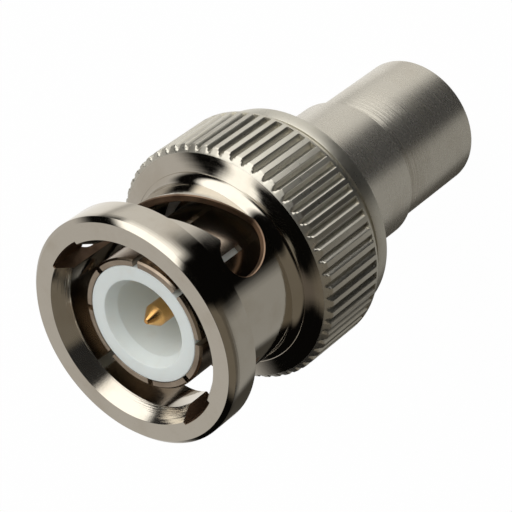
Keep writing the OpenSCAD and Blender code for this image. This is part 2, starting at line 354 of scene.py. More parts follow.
def empty_material(name: str) -> tuple[bpy.types.Material, Tree]:
    """Makes a material without nodes and returns it with its tree."""
    material = bpy.data.materials.new(name)
    material.use_nodes = True
    material.node_tree.nodes.clear()
    return material, Tree(material.node_tree)


NICKEL = PlatedMetal("bright_nickel", (0.66, 0.62, 0.55), (0.52, 0.46, 0.37), 0.075)
MOUTH_NICKEL = PlatedMetal(
    "turned_mouth", (0.66, 0.62, 0.55), (0.50, 0.43, 0.34), 0.09, mark_pitch=0.13, mark_height=0.0035,
    metallic=0.96,
)
KNURLED_NICKEL = PlatedMetal(
    "worn_nickel", (0.66, 0.64, 0.57), (0.50, 0.46, 0.38), 0.31, grain=0.1, metallic=0.94
)
SATIN_NICKEL = PlatedMetal(
    "satin_nickel", (0.67, 0.64, 0.57), (0.54, 0.49, 0.41), 0.27, mark_pitch=0.12, mark_height=0.0012,
    metallic=0.87,
)
BARREL_NICKEL = PlatedMetal(
    "turned_barrel", (0.67, 0.64, 0.57), (0.54, 0.49, 0.41), 0.27, mark_pitch=0.15, mark_height=0.0010,
    metallic=0.88, marked=(4.6, 7.4),
)
# Cam slot walls: rough brown cut metal, its own colour, with near-black clouds over most of it as painted
# shade for the inside of the slots.
SLOT_WALL_PAINTED_SHADE = PlatedMetal(
    "slot_wall_painted_shade", (0.24, 0.165, 0.115), (0.07, 0.04, 0.026), 0.42, stain_and_shade_share=0.9, grain=0.25
)
# Outer contact: a darker, browner copy of the nickel; the darkness is painted shade for the contact deep
# inside the nut.
CONTACT_NICKEL_PAINTED_SHADE = PlatedMetal(
    "contact_nickel_painted_shade", (0.43, 0.36, 0.29), (0.24, 0.18, 0.135), 0.22, stain_and_shade_share=0.6
)
GOLD = PlatedMetal("thin_gold", (0.80, 0.45, 0.16), (0.45, 0.22, 0.08), 0.24, stain_and_shade_share=0.7, grain=0.1)
STEEL = PlatedMetal("plain_spring_steel", (0.40, 0.40, 0.39), (0.26, 0.24, 0.22), 0.3)
WASHER = PlatedMetal("washer_plate", (0.60, 0.575, 0.53), (0.46, 0.41, 0.34), 0.28)
FLUOROPOLYMER = SoftPlastic("white_fluoropolymer", (0.83, 0.88, 0.85), (0.74, 0.72, 0.65), 0.42, 0.25)
SILICONE = SoftPlastic("silicone_rubber", (0.70, 0.68, 0.64), (0.56, 0.53, 0.47), 0.55, 0.15)


# ---- mesh making ----


def corner_points(
    before: tuple[float, float], here: tuple[float, float], after: tuple[float, float], radius: float,
    steps: int = 3,
) -> Outline:
    """Rounds one corner of an outline, and keeps it as it is where the outline hardly turns.

    Args:
        before: The corner before it.
        here: The corner.
        after: The corner after it.
        radius: Corner radius.
        steps: Straight steps in the corner.

    Returns:
        The points that take the corner's place.
    """
    corner = Vector(here)
    back, on = Vector(before) - corner, Vector(after) - corner
    turn = back.angle(on)
    if abs(turn - math.pi) < STRAIGHT:
        return [here]
    cut = min(radius / math.tan(turn / 2), 0.3 * back.length, 0.3 * on.length)
    start, end = corner + back.normalized() * cut, corner + on.normalized() * cut
    made: Outline = []
    for k in range(steps + 1):
        t = k / steps
        point = start * (1 - t) ** 2 + corner * (2 * t * (1 - t)) + end * t**2
        made.append((point.x, point.y))
    return made


def rounded(outline: Outline, radius: float, steps: int = 3) -> Outline:
    """Rounds every corner of a closed outline, except where it meets the axis."""
    made: Outline = []
    for i, here in enumerate(outline):
        after = outline[(i + 1) % len(outline)]
        on_axis = here[0] < ON_AXIS
        made += [here] if on_axis else corner_points(outline[i - 1], here, after, radius, steps)
    return made


def rounded_run(points: Outline, radius: float) -> Outline:
    """Rounds the inner corners of an open run and leaves its first and last points out."""
    made: Outline = []
    for before, here, after in zip(points, points[1:], points[2:]):
        made += corner_points(before, here, after, radius)
    return made


def arc(centre: tuple[float, float], radius: float, start: float, end: float, steps: int) -> Outline:
    """Points on an arc of an outline, with angles in degrees."""
    turns = (math.radians(start + (end - start) * i / steps) for i in range(steps + 1))
    return [(centre[0] + radius * math.cos(t), centre[1] + radius * math.sin(t)) for t in turns]


def new_object(name: str, mesh: bpy.types.Mesh) -> bpy.types.Object:
    """Puts a mesh in the scene as an object at the origin."""
    made = bpy.data.objects.new(name, mesh)
    bpy.context.scene.collection.objects.link(made)
    return made


def mesh_from(bm: bmesh.types.BMesh, name: str, sharp: float = 32.0) -> bpy.types.Object:
    """Turns a bmesh in millimetres into an object in metres, faces outwards, sharp past an angle."""
    bmesh.ops.remove_doubles(bm, verts=bm.verts, dist=1e-5)
    bmesh.ops.recalc_face_normals(bm, faces=bm.faces)
    bmesh.ops.scale(bm, vec=(MM, MM, MM), verts=bm.verts)
    mesh = bpy.data.meshes.new(name)
    bm.to_mesh(mesh)
    bm.free()
    smooth_by_angle(mesh, sharp)
    return new_object(name, mesh)


def smooth_by_angle(mesh: bpy.types.Mesh, sharp: float) -> None:
    """Shades a mesh smooth, with sharp edges past an angle in degrees."""
    mesh.shade_smooth()
    mesh.set_sharp_from_angle(angle=math.radians(sharp))


def flat_ring(inner: float, outer: float, low: float, high: float, edge: float) -> Outline:
    """Outline of a flat ring with rounded edges."""
    return rounded([(inner, low), (outer, low), (outer, high), (inner, high)], edge)


def turned_rings(bm: bmesh.types.BMesh, outline: Outline, angles: Iterable[float]) -> list[list]:
    """Vertices of an outline at each of several angles in degrees about Z."""
    rings = []
    for angle in angles:
        c, s = math.cos(math.radians(angle)), math.sin(math.radians(angle))
        rings.append([bm.verts.new((r * c, r * s, z)) for r, z in outline])
    return rings


def bridge(bm: bmesh.types.BMesh, rings: list[list], round_again: bool = False) -> None:
    """Joins each ring of vertices to the next by four-sided faces, with none on the axis.

    Args:
        bm: The mesh that the rings are in.
        rings: Rings of as many vertices each.
        round_again: Whether the last ring joins the first.
    """
    for ring, following in zip(rings, rings[1:] + (rings[:1] if round_again else [])):
        for k in range(len(ring)):
            n = (k + 1) % len(ring)
            if max(ring[k].co.xy.length, ring[n].co.xy.length) >= ON_AXIS:
                bm.faces.new((ring[k], ring[n], following[n], following[k]))


def lathe(name: str, outline: Outline, turns: Sequence[float] | int = 256) -> bpy.types.Object:
    """Turns a closed outline round Z.

    Args:
        name: Name of the new object.
        outline: Corners as (radius, height) in millimetres.
        turns: Angles in degrees, or how many even steps.

    Returns:
        The closed turned object.
    """
    angles = [360 * i / turns for i in range(turns)] if isinstance(turns, int) else list(turns)
    bm = bmesh.new()
    bridge(bm, turned_rings(bm, outline, angles), round_again=True)
    bmesh.ops.remove_doubles(bm, verts=bm.verts, dist=1e-5)
    bmesh.ops.dissolve_degenerate(bm, dist=1e-6, edges=bm.edges)
    return mesh_from(bm, name)


def as_mesh(obj: bpy.types.Object, name: str) -> bpy.types.Object:
    """Replaces an object and its live modifiers by a plain mesh."""
    graph = bpy.context.evaluated_depsgraph_get()
    mesh = bpy.data.meshes.new_from_object(obj.evaluated_get(graph), depsgraph=graph)
    obj.modifiers.clear()
    bpy.data.objects.remove(obj)
    made = new_object(name, mesh)
    mesh.name = name
    return made


def cut_away(
    obj: bpy.types.Object, cutters: Iterable[bpy.types.Object], sharp: float = 32.0
) -> bpy.types.Object:
    """Cuts cutters out of an object, which keep their material numbers, and removes them."""
    name = obj.name
    cutters = list(cutters)
    for cutter in cutters:
        modifier = obj.modifiers.new("cut", "BOOLEAN")
        modifier.operation, modifier.solver, modifier.object = "DIFFERENCE", "EXACT", cutter
        modifier.material_mode = "INDEX"
    made = as_mesh(obj, name)
    made.name = name
    for cutter in cutters:
        bpy.data.objects.remove(cutter)
    smooth_by_angle(made.data, sharp)
    return made


def dress(
    obj: bpy.types.Object, body: Body, slot: Slot, finishes: Sequence[PlatedMetal | SoftPlastic], *nodes: str
) -> bpy.types.Object:
    """Gives a finished piece its materials and body, and hides the CAD nodes it stands for."""
    numbers = [min(one.material_index, len(finishes) - 1) for one in obj.data.polygons]
    obj.data.materials.clear()
    for finish in finishes:
        obj.data.materials.append(finish.material())
    obj.data.polygons.foreach_set("material_index", numbers)
    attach(obj, body.value)
    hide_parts(*nodes)
    LOG.info("%s: %d faces", obj.name, len(obj.data.polygons))
    return obj


def node_span(node: str) -> tuple[float, float]:
    """Lowest and highest height of a CAD node, in millimetres."""
    low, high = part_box(node)
    return low[2] / MM, high[2] / MM


SOCKET_TYPES = {
    float: "NodeSocketFloat", int: "NodeSocketInt", bpy.types.Material: "NodeSocketMaterial"
}


class GeometryRecipe:
    """A Geometry Nodes tree with named inputs, run once and turned into a plain mesh."""

    def __init__(self, name: str, inputs: dict[str, Any]) -> None:
        """Makes the tree and its interface.

        Args:
            name: Name of the tree.
            inputs: The value used for each input name; its type gives the socket's.
        """
        self.group = bpy.data.node_groups.new(name, "GeometryNodeTree")
        self.tree = Tree(self.group)
        self.values = inputs
        face = self.group.interface
        face.new_socket("Geometry", in_out="OUTPUT", socket_type="NodeSocketGeometry")
        face.new_socket("Geometry", in_out="INPUT", socket_type="NodeSocketGeometry")
        self.names = {
            key: face.new_socket(key, in_out="INPUT", socket_type=SOCKET_TYPES[type(value)]).identifier
            for key, value in inputs.items()
        }
        self.source = self.group.nodes.new("NodeGroupInput")

    def input(self, name: str) -> Value:
        """One named input as a value."""
        return Value(self.tree, self.source.outputs[name])

    def run(self, result: Value, obj: bpy.types.Object, name: str) -> bpy.types.Object:
        """Ends the tree, applies it to an object and returns the plain mesh."""
        tree = self.tree
        real = tree.node("GeometryNodeRealizeInstances", None, {0: result})
        done = tree.node(
            "GeometryNodeSetMaterial", None, {"Geometry": real, "Material": self.input("Finish")}
        )
        tree.node("NodeGroupOutput", None, {0: done})
        modifier = obj.modifiers.new(name, "NODES")
        modifier.node_group = self.group
        for key, value in self.values.items():
            modifier[self.names[key]] = value
        return as_mesh(obj, name)


# ---- coupling nut ----


@dataclass
class CouplingNut:
    """Knurled bayonet nut with its two cam slots, and the retaining ring in its rear groove."""

    ring_radius: float = 7.08
    ring_width: float = 2.1
    ring_chamfer: float = 0.26
    ring_cove: float = 1.0
    waist_radius: float = 5.65
    bore_radius: float = 5.2
    mouth_radius: float = 5.75
    mouth_depth: float = 1.05
    crease_radius: float = 6.1
    collar_depth: float = 8.35
    shoulder_rise: float = 0.38
    collar_cove: float = 0.75
    ridge_radius: float = 7.52
    valley_depth: float = 0.3
    knurl_width: float = 4.7
    ridges: int = 58
    ridge_share: float = 0.42
    band: float = 0.3
    groove_width: float = 0.75
    groove_radius: float = 6.75
    tail_radius: float = 6.9
    edge: float = 0.15
    pocket_radius: float = 5.9
    clip_groove_radius: float = 6.29
    clip_groove_width: float = 0.81
    clip_inner: float = 5.1
    clip_outer: float = 6.25
    clip_gap: float = 2.0
    tail_lip: float = 0.95
    shoulder_height: float = 4.89
    entry_turn: float = 5.0
    entry_width: float = 2.8
    entry_floor_radius: float = 5.9
    slot_width: float = 2.7
    slot_entry_depth: float = 4.93
    slot_lead: float = 10.26
    lock_turn: float = 96.7
    nose_turn: float = 24.0
    detent_depth: float = 5.0
    detent_diameter: float = 2.5
    rim_flare: float = 0.07
    entry_lead: float = 0.35
    cutter_reach: float = 1.5

    def outline(self, face: float, rear: float) -> Outline:
        """Closed outline of the nut from its mating face round to its bore, before the cuts.

        Args:
            face: Height of the mating face.
            rear: Height of the rear end.

        Returns:
            Corners as (radius, height).
        """
        crease_depth = self.collar_depth - self.shoulder_rise
        cove_rise = self.crease_radius - self.waist_radius
        cove_turn = math.degrees(math.acos(1 - cove_rise / self.collar_cove))
        front = self.valley_depth + self.edge / 2
        knurl_end = self.collar_depth + self.knurl_width
        groove = knurl_end + self.band
        cove_centre = -crease_depth + self.collar_cove * math.sin(math.radians(cove_turn))
        chamfer = [
            (self.ridge_radius - front * (1 - t), -self.collar_depth - front * t)
            for t in (0, 0.2, 0.4, 0.6, 0.8, 0.93)
        ]
        outer = (
            rounded_run([(self.mouth_radius, 0), (self.ring_radius - self.ring_chamfer, 0),
                         (self.ring_radius, -self.ring_chamfer), (self.ring_radius, -self.ring_width),
                         (self.waist_radius + self.ring_cove, -self.ring_width)], 0.035)
            + arc((self.waist_radius + self.ring_cove, -self.ring_width - self.ring_cove),
                  self.ring_cove, 92, 180, 14)
            + arc((self.waist_radius + self.collar_cove, cove_centre),
                  self.collar_cove, 180, 178 + cove_turn, 10)
            + rounded_run([(self.waist_radius + self.collar_cove, cove_centre),
                           (self.crease_radius, -crease_depth),
                           (self.ridge_radius - front, -self.collar_depth)], 0.02)
            + chamfer
            + [(self.ridge_radius - 0.006, -self.collar_depth - front - 0.02),
               (self.ridge_radius, -self.collar_depth - front - 0.06)]
            + [(self.ridge_radius, -knurl_end + 0.02), (self.ridge_radius, -knurl_end)]
            + rounded_run([(self.ridge_radius, -knurl_end), (self.ridge_radius, -knurl_end - self.edge),
                           (self.groove_radius, -groove), (self.groove_radius, -groove - self.groove_width),
                           (self.tail_radius, -groove - self.groove_width),
                           (self.tail_radius, rear - face + self.edge),
                           (self.tail_radius - self.edge, rear - face),
                           (self.pocket_radius, rear - face)], 0.03)
        )
        lip = rear - face + self.tail_lip
        shoulder = rear - face + self.shoulder_height
        inner = rounded_run([
            (self.tail_radius - self.edge, rear - face), (self.pocket_radius, rear - face),
            (self.pocket_radius, lip),
            (self.clip_groove_radius, lip), (self.clip_groove_radius, lip + self.clip_groove_width),
            (self.pocket_radius, lip + self.clip_groove_width), (self.pocket_radius, shoulder),
            (self.bore_radius, shoulder), (self.bore_radius, -self.mouth_depth), (self.mouth_radius, 0),
            (self.ring_radius - self.ring_chamfer, 0),
        ], 0.03)
        return [(r, face + z) for r, z in outer + inner]

    def knurl_turns(self) -> list[float]:
        """Angles, in degrees, that follow the knurl's ridges, edges and valleys."""
        half = self.ridge_share / 2
        slope = (0.5 - half) / 2 + half
        steps = [-slope, -half - 0.02, -half + 0.025, 0.0, half - 0.025, half + 0.02, slope, 0.5]
        pitch = 360 / self.ridges
        return [pitch * (i + step) for i in range(self.ridges) for step in steps]

    def knurled(self, blank: bpy.types.Object, face: float) -> bpy.types.Object:
        """Presses the knurl's valleys into the collar of a turned blank.

        Args:
            blank: The turned nut.
            face: Height of the mating face.

        Returns:
            The knurled nut as a plain mesh.
        """
        recipe = GeometryRecipe("press_knurl", {
            "Ridges": float(self.ridges),
            "Ridge radius": self.ridge_radius * MM,
            "Valley depth": self.valley_depth * MM,
            "Ridge share": self.ridge_share,
            "Knurl end": (face - self.collar_depth - self.knurl_width + 0.01) * MM,
            "Knurl start": (face - self.collar_depth + 0.2) * MM,
            "Finish": NICKEL.material(),
        })
        tree = recipe.tree
        place = tree.node("GeometryNodeInputPosition")
        x, y, z = tree.split(place)
        radius = (x * x + y * y).math("SQRT")
        pitches = y.math("ARCTAN2", x) * recipe.input("Ridges") / math.tau
        off_ridge = ((pitches + 0.5).math("FLOORED_MODULO", 1.0) - 0.5).math("ABSOLUTE")
        half = recipe.input("Ridge share") * 0.5
        sunk = ((off_ridge - half) / (0.5 - half)).math("MAXIMUM", 0.0) * recipe.input("Valley depth")
        capped = radius.math("MINIMUM", recipe.input("Ridge radius") - sunk)
        scale = capped / radius
        ahead = z.math("LESS_THAN", recipe.input("Knurl start"))
        chosen = ahead * z.math("GREATER_THAN", recipe.input("Knurl end"))
        moved = tree.node(
            "GeometryNodeSetPosition",
            None,
            {"Geometry": recipe.input("Geometry"), "Selection": chosen,
             "Position": tree.vector(x * scale, y * scale, z)},
        )
        return recipe.run(moved, blank, "coupling_nut_dressed")

    def slot_depths(self, turn: float) -> tuple[float, float]:
        """Depths of a cam slot's front and rear walls at a turn past its entry.

        Args:
            turn: Degrees past the middle of the entry.

        Returns:
            Front and rear depth from the mating face.
        """
        degree = math.tau * self.waist_radius / 360
        half_turn = self.detent_diameter / 2 / degree
        nose_start = self.lock_turn + half_turn - self.nose_turn

        def helix(at: float) -> float:
            """Depth of the plain helix."""
            return self.slot_entry_depth + self.slot_lead * at / 360

        rear = helix(turn)
        if turn > nose_start:
            bend = math.sqrt(max(0.0, 1 - ((turn - nose_start) / self.nose_turn) ** 2))
            rear = self.detent_depth + (helix(nose_start) - self.detent_depth) * bend
        front = helix(turn) - self.slot_width
        across = (turn - self.lock_turn) / half_turn
        if abs(across) < 1:
            front = min(front, self.detent_depth - self.detent_diameter / 2 * math.sqrt(1 - across * across))
        return front, rear

    def slot_cutter(self, face: float, side: float) -> bpy.types.Object:
        """Cutter for one cam slot, flared where it breaks through the waist and the bore.

        Args:
            face: Height of the mating face.
            side: Turn of the slot's entry, in degrees.

        Returns:
            The closed cutter, its faces on the second material.
        """
        degree = math.tau * self.waist_radius / 360
        end = self.lock_turn + self.detent_diameter / 2 / degree
        nose = end - self.nose_turn
        first = -math.degrees(math.asin(self.entry_width / 2 / self.entry_floor_radius)) / 2
        turns = [first + (nose - first) * i / 44 for i in range(45)]
        turns += [nose + 0.9995 * self.nose_turn * math.sin(math.pi / 2 * i / 24) for i in range(1, 25)]
        upper, lower = [], []
        for turn in turns:
            front, rear = self.slot_depths(turn)
            upper.append(Vector((turn * degree, -front)))
            lower.append(Vector((turn * degree, -rear)))
        loop = upper + lower[::-1]
        layers = [
            (self.bore_radius - 0.6, self.rim_flare), (self.bore_radius - 0.02, self.rim_flare),
            (self.bore_radius + self.rim_flare, 0.0), (self.waist_radius - self.rim_flare, 0.0),
            (self.waist_radius + 0.02, self.rim_flare), (6.0, self.rim_flare),
        ]
        bm = bmesh.new()
        rings = []
        for radius, flare in layers:
            ring = []
            for i, point in enumerate(loop):
                along = (loop[(i + 1) % len(loop)] - loop[i - 1]).normalized()
                out = point + Vector((along.y, -along.x)) * -flare
                turn = math.radians(side - out.x / degree)
                ring.append(bm.verts.new((radius * math.cos(turn), radius * math.sin(turn), face + out.y)))
            rings.append(ring)
        bridge(bm, rings)
        count = len(turns)
        for ring in (rings[0], rings[-1]):
            for k in range(count - 1):
                bm.faces.new((ring[k], ring[k + 1], ring[2 * count - 2 - k], ring[2 * count - 1 - k]))
        return self._as_cutter(bm, "slot_cutter")

    def entry_cutter(self, face: float, side: float) -> bpy.types.Object:
        """Cutter for one straight entry, with a floor that is round about the axis.

        Args:
            face: Height of the mating face.
            side: Turn of the entry, in degrees.

        Returns:
            The closed cutter, its faces on the second material.
        """
        half = self.entry_width / 2
        reach = math.asin(half / self.entry_floor_radius)
        floor = [reach * (i / 6 - 1) for i in range(13)]
        inside = self.bore_radius - self.cutter_reach
        section = [(inside, -half)]
        section += [
            (self.entry_floor_radius * math.cos(t), self.entry_floor_radius * math.sin(t)) for t in floor
        ]
        section += [(inside, half)]
        bm = bmesh.new()
        lead_depth, above = 0.05, 0.3
        heights = (face - self.slot_entry_depth, face - lead_depth, face + above)
        spread = (0.0, 0.0, self.entry_lead)
        rings = [
            [bm.verts.new((x + wide * 0.6, y * (1 + wide / half), z)) for x, y in section]
            for z, wide in zip(heights, spread)
        ]
        bridge(bm, rings)
        bm.faces.new(rings[0])
        bm.faces.new(rings[-1])
        bmesh.ops.rotate(bm, verts=bm.verts, matrix=Matrix.Rotation(math.radians(side), 3, "Z"))
        return self._as_cutter(bm, "entry_cutter")

    @staticmethod
    def _as_cutter(bm: bmesh.types.BMesh, name: str) -> bpy.types.Object:
        """Finishes a cutter whose faces use the second material."""
        for one in bm.faces:
            one.material_index = 1
        made = mesh_from(bm, name)
        made.data.materials.append(NICKEL.material())
        made.data.materials.append(SLOT_WALL_PAINTED_SHADE.material())
        return made

    def build(self) -> None:
        """Makes the nut and its retaining ring."""
        rear, face = node_span("coupling_nut")
        blank = lathe("nut_blank", self.outline(face, rear), self.knurl_turns())
        nut = self.knurled(blank, face)
        nut.data.materials.clear()
        nut.data.materials.append(NICKEL.material())
        nut.data.materials.append(SLOT_WALL_PAINTED_SHADE.material())
        cutters = []
        for side in (self.entry_turn, self.entry_turn + 180):
            cutters += [self.entry_cutter(face, side), self.slot_cutter(face, side)]
        nut = cut_away(nut, cutters, 26.0)
        nut.data.materials.append(KNURLED_NICKEL.material())
        nut.data.materials.append(MOUTH_NICKEL.material())
        self._mark_zones(nut, face)
        dress(nut, Body.NUT, Slot.NUT, (NICKEL, SLOT_WALL_PAINTED_SHADE, KNURLED_NICKEL, MOUTH_NICKEL), "coupling_nut")
        self._retaining_ring()

    def _mark_zones(self, nut: bpy.types.Object, face: float) -> None:
        """Puts the collar's outside on the third material and the mouth's cone on the fourth."""
        collar = (face - self.collar_depth - 0.02) * MM
        cone = (face - self.mouth_depth - 0.01) * MM
        for one in nut.data.polygons:
            centre = one.center
            radius = math.hypot(centre.x, centre.y) / MM
            if centre.z < collar and radius > self.groove_radius - 0.2:
                one.material_index = 2
            elif centre.z > cone and radius < self.mouth_radius + 0.02 and one.material_index == 0:
                one.material_index = 3

    def _retaining_ring(self) -> None:
        """Snap ring in the nut's rear groove, with its gap."""
        low, high = node_span("retaining_ring")
        inner, outer = self.clip_inner, self.clip_outer
        half = math.degrees(math.asin(self.clip_gap / 2 / outer))
        outline = flat_ring(inner, outer, low, high, 0.06)
        bm = bmesh.new()
        rings = turned_rings(bm, outline, [half + (360 - 2 * half) * i / 240 for i in range(241)])
        bridge(bm, rings)
        bm.faces.new(rings[0])
        bm.faces.new(rings[-1])
        ring = mesh_from(bm, "retaining_ring_dressed")
        dress(ring, Body.NUT, Slot.SPRING, (STEEL,), "retaining_ring")


# ---- saw cuts ----


def saw_cutter(
    name: str, cuts: int, width: float, reach: float, low: float, high: float, turn: float
) -> bpy.types.Object:
    """Blades right across the axis, spread evenly by Geometry Nodes, to cut slots with.

    Args:
        name: Name of the cutter.
        cuts: How many blades; each makes two slots.
        width: Width of a slot.
        reach: Half the length of a blade.
        low: Height of the blades' lower side.
        high: Height of their upper side.
        turn: Turn of the first blade, in degrees.

    Returns:
        The blades as one plain mesh.
    """
    recipe = GeometryRecipe(name, {
        "Cuts": cuts,
        "Width": width * MM,
        "Reach": reach * MM,
        "Low": low * MM,
        "High": high * MM,
        "Turn": math.radians(turn),
        "Finish": CONTACT_NICKEL_PAINTED_SHADE.material(),
    })
    tree = recipe.tree
    tall = recipe.input("High") - recipe.input("Low")
    blade = tree.node(
        "GeometryNodeMeshCube",
        None,
        {"Size": tree.vector(recipe.input("Reach") * 2.0, recipe.input("Width"), tall)},
    )
    middle = (recipe.input("High") + recipe.input("Low")) * 0.5
    points = tree.node(
        "GeometryNodePoints",
        None,
        {"Count": recipe.input("Cuts"), "Position": tree.vector(0.0, 0.0, middle)},
    )
    number = tree.node("GeometryNodeInputIndex")
    angle = number * math.pi / recipe.input("Cuts") + recipe.input("Turn")
    spread = tree.node(
        "GeometryNodeInstanceOnPoints",
        None,
        {"Points": points, "Instance": blade, "Rotation": tree.vector(0.0, 0.0, angle)},
    )
    holder = new_object(name, bpy.data.meshes.new(name))
    return recipe.run(spread, holder, name)


# ---- plug end ----


@dataclass
class PlugEnd:
    """Slotted outer contact, white insulator, centre pin and gasket."""

    sleeve_radius: float = 4.1
    sleeve_wall: float = 0.43
    shoulder_radius: float = 4.4
    shoulder_low: float = 18.33
    shoulder_high: float = 19.53
    tip_edge: float = 0.12
    cuts: int = 4
    cut_width: float = 0.36
    cut_length: float = 5.6
    cut_turn: float = 3.0
    seat: float = 0.02
    bore_radius: float = 2.42
    bore_depth: float = 6.2
    mouth_radius: float = 2.75
    mouth_depth: float = 0.75
    pin_radius: float = 0.675
    pin_body_radius: float = 1.0
    pin_point: float = 0.8
    pin_flat: float = 0.15
    pin_clear: float = 0.03
    gasket_radius: float = 5.0

    def build(self) -> None:
        """Makes the pieces of the plug end."""
        self._sleeve()
        self._insulator()
        self._pin()
        low, high = node_span("gasket")
        inner, outer = self.shoulder_radius + self.seat, self.gasket_radius
        outline = flat_ring(inner, outer, low, high, 0.12)
        dress(lathe("gasket_dressed", outline), Body.ROOT, Slot.GASKET, (SILICONE,), "gasket")

    def _sleeve(self) -> None:
        """Outer contact with its fingers."""
        low, high = node_span("outer_contact")
        bore = self.sleeve_radius - self.sleeve_wall
        outline = rounded([
            (bore, low), (self.sleeve_radius, low), (self.sleeve_radius, self.shoulder_low),
            (self.shoulder_radius, self.shoulder_low), (self.shoulder_radius, self.shoulder_high),
            (self.sleeve_radius, self.shoulder_high), (self.sleeve_radius, high - self.tip_edge),
            (self.sleeve_radius - self.tip_edge, high), (bore, high),
        ], 0.03)
        sleeve = lathe("outer_contact_dressed", outline, 320)
        blades = saw_cutter("sleeve_blades", self.cuts, self.cut_width, self.sleeve_radius + 1,
                            high - self.cut_length, high + 1, self.cut_turn)
        sleeve = cut_away(sleeve, [blades])
        dress(sleeve, Body.ROOT, Slot.CONTACT, (CONTACT_NICKEL_PAINTED_SHADE,), "outer_contact")

    def _insulator(self) -> None:
        """White insulator with its stepped bore."""
        low, high = node_span("plug_insulator")
        outer = self.sleeve_radius - self.sleeve_wall - self.seat
        hole = self.pin_body_radius + self.seat
        floor = high - self.bore_depth
        outline = rounded([
            (hole, low), (outer, low), (outer, high), (self.mouth_radius, high),
            (self.bore_radius, high - self.mouth_depth), (self.bore_radius, floor), (hole, floor),
        ], 0.07, 4)
        dress(lathe("plug_insulator_dressed", outline), Body.ROOT, Slot.INSULATOR, (FLUOROPOLYMER,),
              "plug_insulator")

    def _pin(self) -> None:
        """Gold centre pin with its thick part and its point."""
        low, high = node_span("centre_pin")
        thick_low, insulator_high = node_span("plug_insulator")
        thick_high = insulator_high - self.bore_depth - self.pin_clear
        outline = rounded([
            (0, low), (self.pin_radius, low), (self.pin_radius, thick_low),
            (self.pin_body_radius, thick_low), (self.pin_body_radius, thick_high),
            (self.pin_radius, thick_high),
            (self.pin_radius, high - self.pin_point), (self.pin_flat, high), (0, high),
        ], 0.1, 5)
        dress(lathe("centre_pin_dressed", outline, 128), Body.ROOT, Slot.GOLD, (GOLD,), "centre_pin")


# ---- phono end ----


@dataclass
class PhonoEnd:
    """Body, barrel, phono insulator and the sprung socket inside it."""

    body_radius: float = 4.6
    body_edge: float = 0.12
    flange_radius: float = 5.78
    flange_width: float = 1.3
    sleeve_seat: float = 4.12
    web_radius: float = 2.9
    web_low: float = 10.33
    web_high: float = 11.93
    spigot_seat: float = 3.92
    barrel_radius: float = 4.25
    barrel_bore: float = 3.4
    barrel_edge: float = 0.3
    spigot_radius: float = 3.9
    mouth_radius: float = 1.95
    socket_bore: float = 1.6
    socket_radius: float = 2.02
    socket_depth: float = 9.2
    head_radius: float = 2.4
    pin_hole: float = 0.695
    cuts: int = 2
    cut_width: float = 0.3
    cut_length: float = 5.5
    seat: float = 0.02
    socket_clear: float = 0.08
    end_clear: float = 0.03

    def build(self) -> None:
        """Makes the pieces of the phono end."""
        low, high = node_span("main_body")
        flange = high - self.flange_width
        outline = rounded([
            (self.body_radius - self.body_edge, low), (self.body_radius, low + self.body_edge),
            (self.body_radius, flange), (self.flange_radius, flange), (self.flange_radius, high),
            (self.sleeve_seat, high), (self.sleeve_seat, self.web_high), (self.web_radius, self.web_high),
            (self.web_radius, self.web_low), (self.spigot_seat, self.web_low), (self.spigot_seat, low),
        ], 0.04)
        dress(lathe("main_body_dressed", outline), Body.ROOT, Slot.BODY, (SATIN_NICKEL,), "main_body")
        rim, top = node_span("phono_barrel")
        outline = rounded([
            (self.barrel_bore, rim), (self.barrel_radius - self.barrel_edge, rim),
            (self.barrel_radius, rim + self.barrel_edge), (self.barrel_radius, low),
            (self.spigot_radius, low),
            (self.spigot_radius, top), (self.barrel_bore, top),
        ], 0.05)
        dress(lathe("phono_barrel_dressed", outline), Body.ROOT, Slot.BODY, (BARREL_NICKEL,), "phono_barrel")
        self._insulator()
        self._socket()

    def _insulator(self) -> None:
        """White insulator of the phono end."""
        low, high = node_span("phono_insulator")
        ledge = node_span("phono_socket_contact")[0] - self.end_clear
        inner, outer = self.socket_radius + self.socket_clear, self.barrel_bore - self.seat
        outline = rounded([
            (self.mouth_radius, low), (outer, low), (outer, high),
            (inner, high), (inner, ledge), (self.mouth_radius, ledge),
        ], 0.05)
        dress(lathe("phono_insulator_dressed", outline), Body.ROOT, Slot.INSULATOR, (FLUOROPOLYMER,),
              "phono_insulator")

    def _socket(self) -> None:
        """Sprung socket with its four fingers."""
        low, high = node_span("phono_socket_contact")
        floor = low + self.socket_depth
        outline = rounded([
            (0, floor), (self.socket_bore, floor), (self.socket_bore, low), (self.socket_radius, low),
            (self.socket_radius, self.web_low), (self.head_radius, self.web_low), (self.head_radius, high),
            (self.pin_hole, high), (self.pin_hole, self.web_low), (0, self.web_low),
        ], 0.05)
        socket = lathe("phono_socket_dressed", outline, 192)
        blades = saw_cutter("socket_blades", self.cuts, self.cut_width, self.socket_radius + 1,
                            low - 1, low + self.cut_length, 0.0)
        socket = cut_away(socket, [blades])
        dress(socket, Body.ROOT, Slot.GOLD, (GOLD,), "phono_socket_contact")


# ---- spring pack ----


